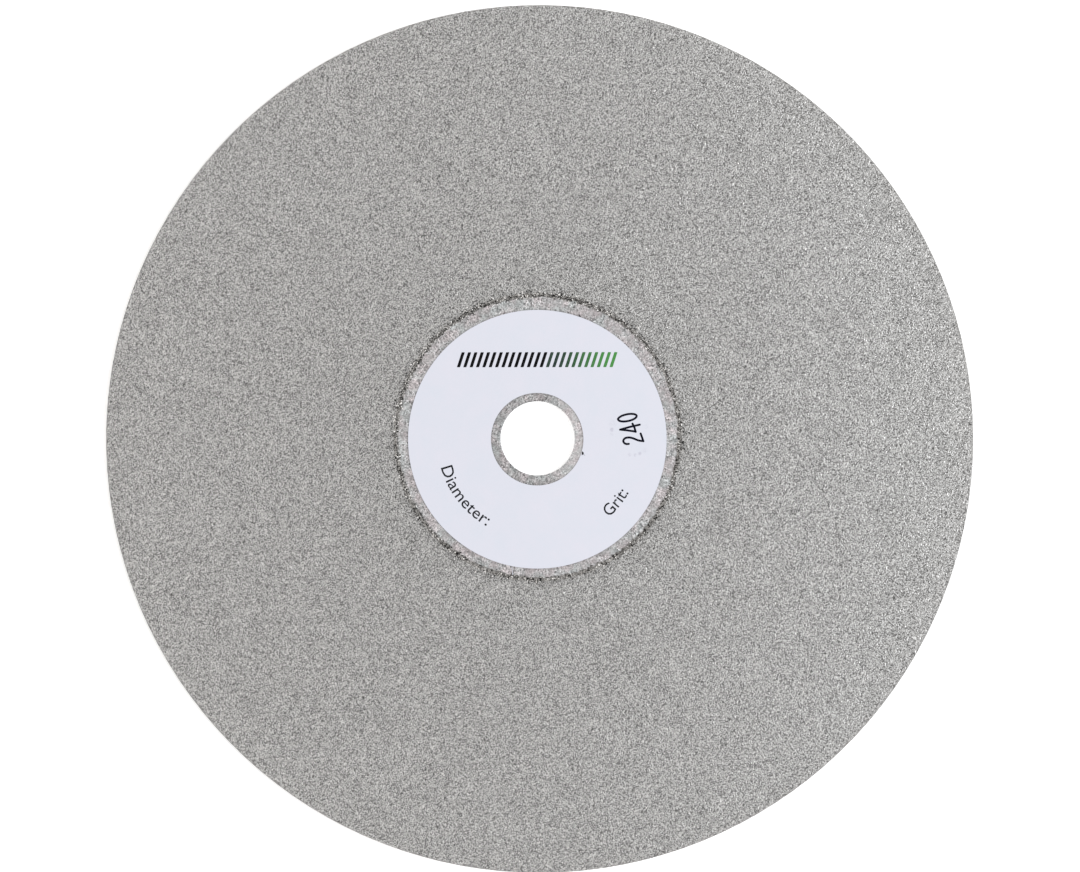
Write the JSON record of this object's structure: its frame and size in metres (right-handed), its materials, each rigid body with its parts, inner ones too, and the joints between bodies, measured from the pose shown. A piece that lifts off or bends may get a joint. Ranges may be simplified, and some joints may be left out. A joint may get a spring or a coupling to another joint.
{
  "type": "diamond grinding wheel",
  "caption": "Flat round lapping disc for gem and stone grinding: thin steel blank with a centre bore, a plated diamond-grit face and a paper label round the bore.",
  "frame": {"origin": "centre of the bore on the back face", "axes": "+Z along the bore, out of the diamond face; +Y towards the top of the label; +X to the right of the label"},
  "size_m": [0.15, 0.15, 0.0012],
  "materials": {
    "blank_steel": "cold-rolled steel with a thin nickel flash, satin",
    "plated_nickel": "matt electroplated nickel",
    "diamond_crystals": "rough single layer of fine diamond grit",
    "ridge_nickel": "coarse dark nickel ridge with loose grit",
    "label_adhesive": "clear acrylic adhesive film",
    "label_paper": "smooth uncoated white label paper",
    "dark_ink": "printed black ink",
    "green_ink": "printed green ink",
    "marker_ink": "black felt marker"
  },
  "bodies": {
    "root": {"steel_core": "blank_steel", "nickel_bond": "plated_nickel", "diamond_grit": "diamond_crystals", "mask_edge_ridge": "ridge_nickel", "label_adhesive": "label_adhesive", "label_paper": "label_paper", "dark_print": "dark_ink", "green_print": "green_ink", "caption_print": "dark_ink", "grit_number": "marker_ink"}
  },
  "joints": []
}
